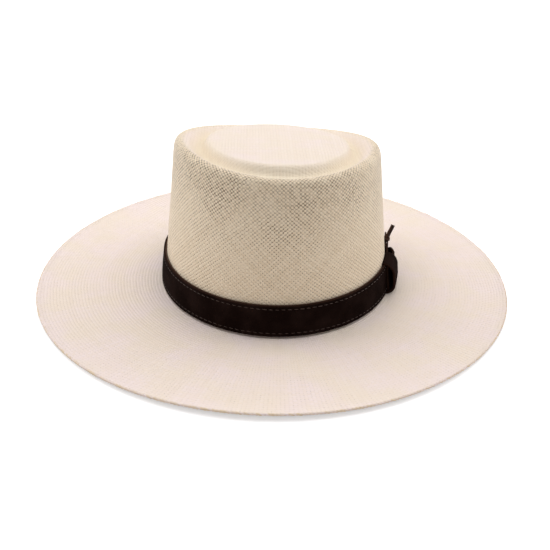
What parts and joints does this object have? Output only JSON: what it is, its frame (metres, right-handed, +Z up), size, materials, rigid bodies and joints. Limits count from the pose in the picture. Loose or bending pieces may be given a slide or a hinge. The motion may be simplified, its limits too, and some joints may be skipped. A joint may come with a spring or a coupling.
{
  "type": "panama hat",
  "caption": "Wide flat-brimmed straw panama with a tilted telescope crown, stitched leather band, sliding keeper and lace tie.",
  "frame": {"origin": "centre of the brim's underside, where the hat rests on a table", "axes": "+Z up through the crown, -Y the front of the hat, +X the wearer's left, where the keeper and the lace are"},
  "size_m": [0.357, 0.394, 0.1167],
  "materials": {
    "straw": "woven straw, matte",
    "sweatband_leather": "smooth tan leather",
    "reed_plastic": "matte",
    "tape_cloth": "fine cotton weave",
    "light_thread": "twisted thread",
    "bow_ribbon": "ribbed ribbon",
    "band_leather": "dark brown suede",
    "lining_leather": "raw brown leather",
    "dark_thread": "waxed thread",
    "lace_leather": "cut leather lace"
  },
  "bodies": {
    "hat": {"straw_body": "straw", "sweatband": "sweatband_leather", "sweatband_reed": "reed_plastic", "reed_tape": "tape_cloth", "sweatband_stitching": "light_thread", "sweatband_back_tab": "sweatband_leather", "sweatband_bow": "bow_ribbon", "size_label": "tape_cloth"},
    "hatband": {"strap_face": "band_leather", "strap_lining": "lining_leather", "upper_stitching": "dark_thread", "lower_stitching": "dark_thread", "overlap_end": "band_leather", "tie_lace": "lace_leather"},
    "keeper": {"keeper_loop": "band_leather"}
  },
  "joints": [
    {"name": "hatband_lift", "type": "slide", "parent": "hat", "child": "hatband", "axis": [0, 0, 1], "range_m": [0, 0.125]},
    {"name": "keeper_slide", "type": "hinge", "parent": "hatband", "child": "keeper", "pos_m": [-0.03424, 0.00756, 0.015], "axis": [0, 0, 1], "range_deg": [-1.87, 1.87]}
  ]
}
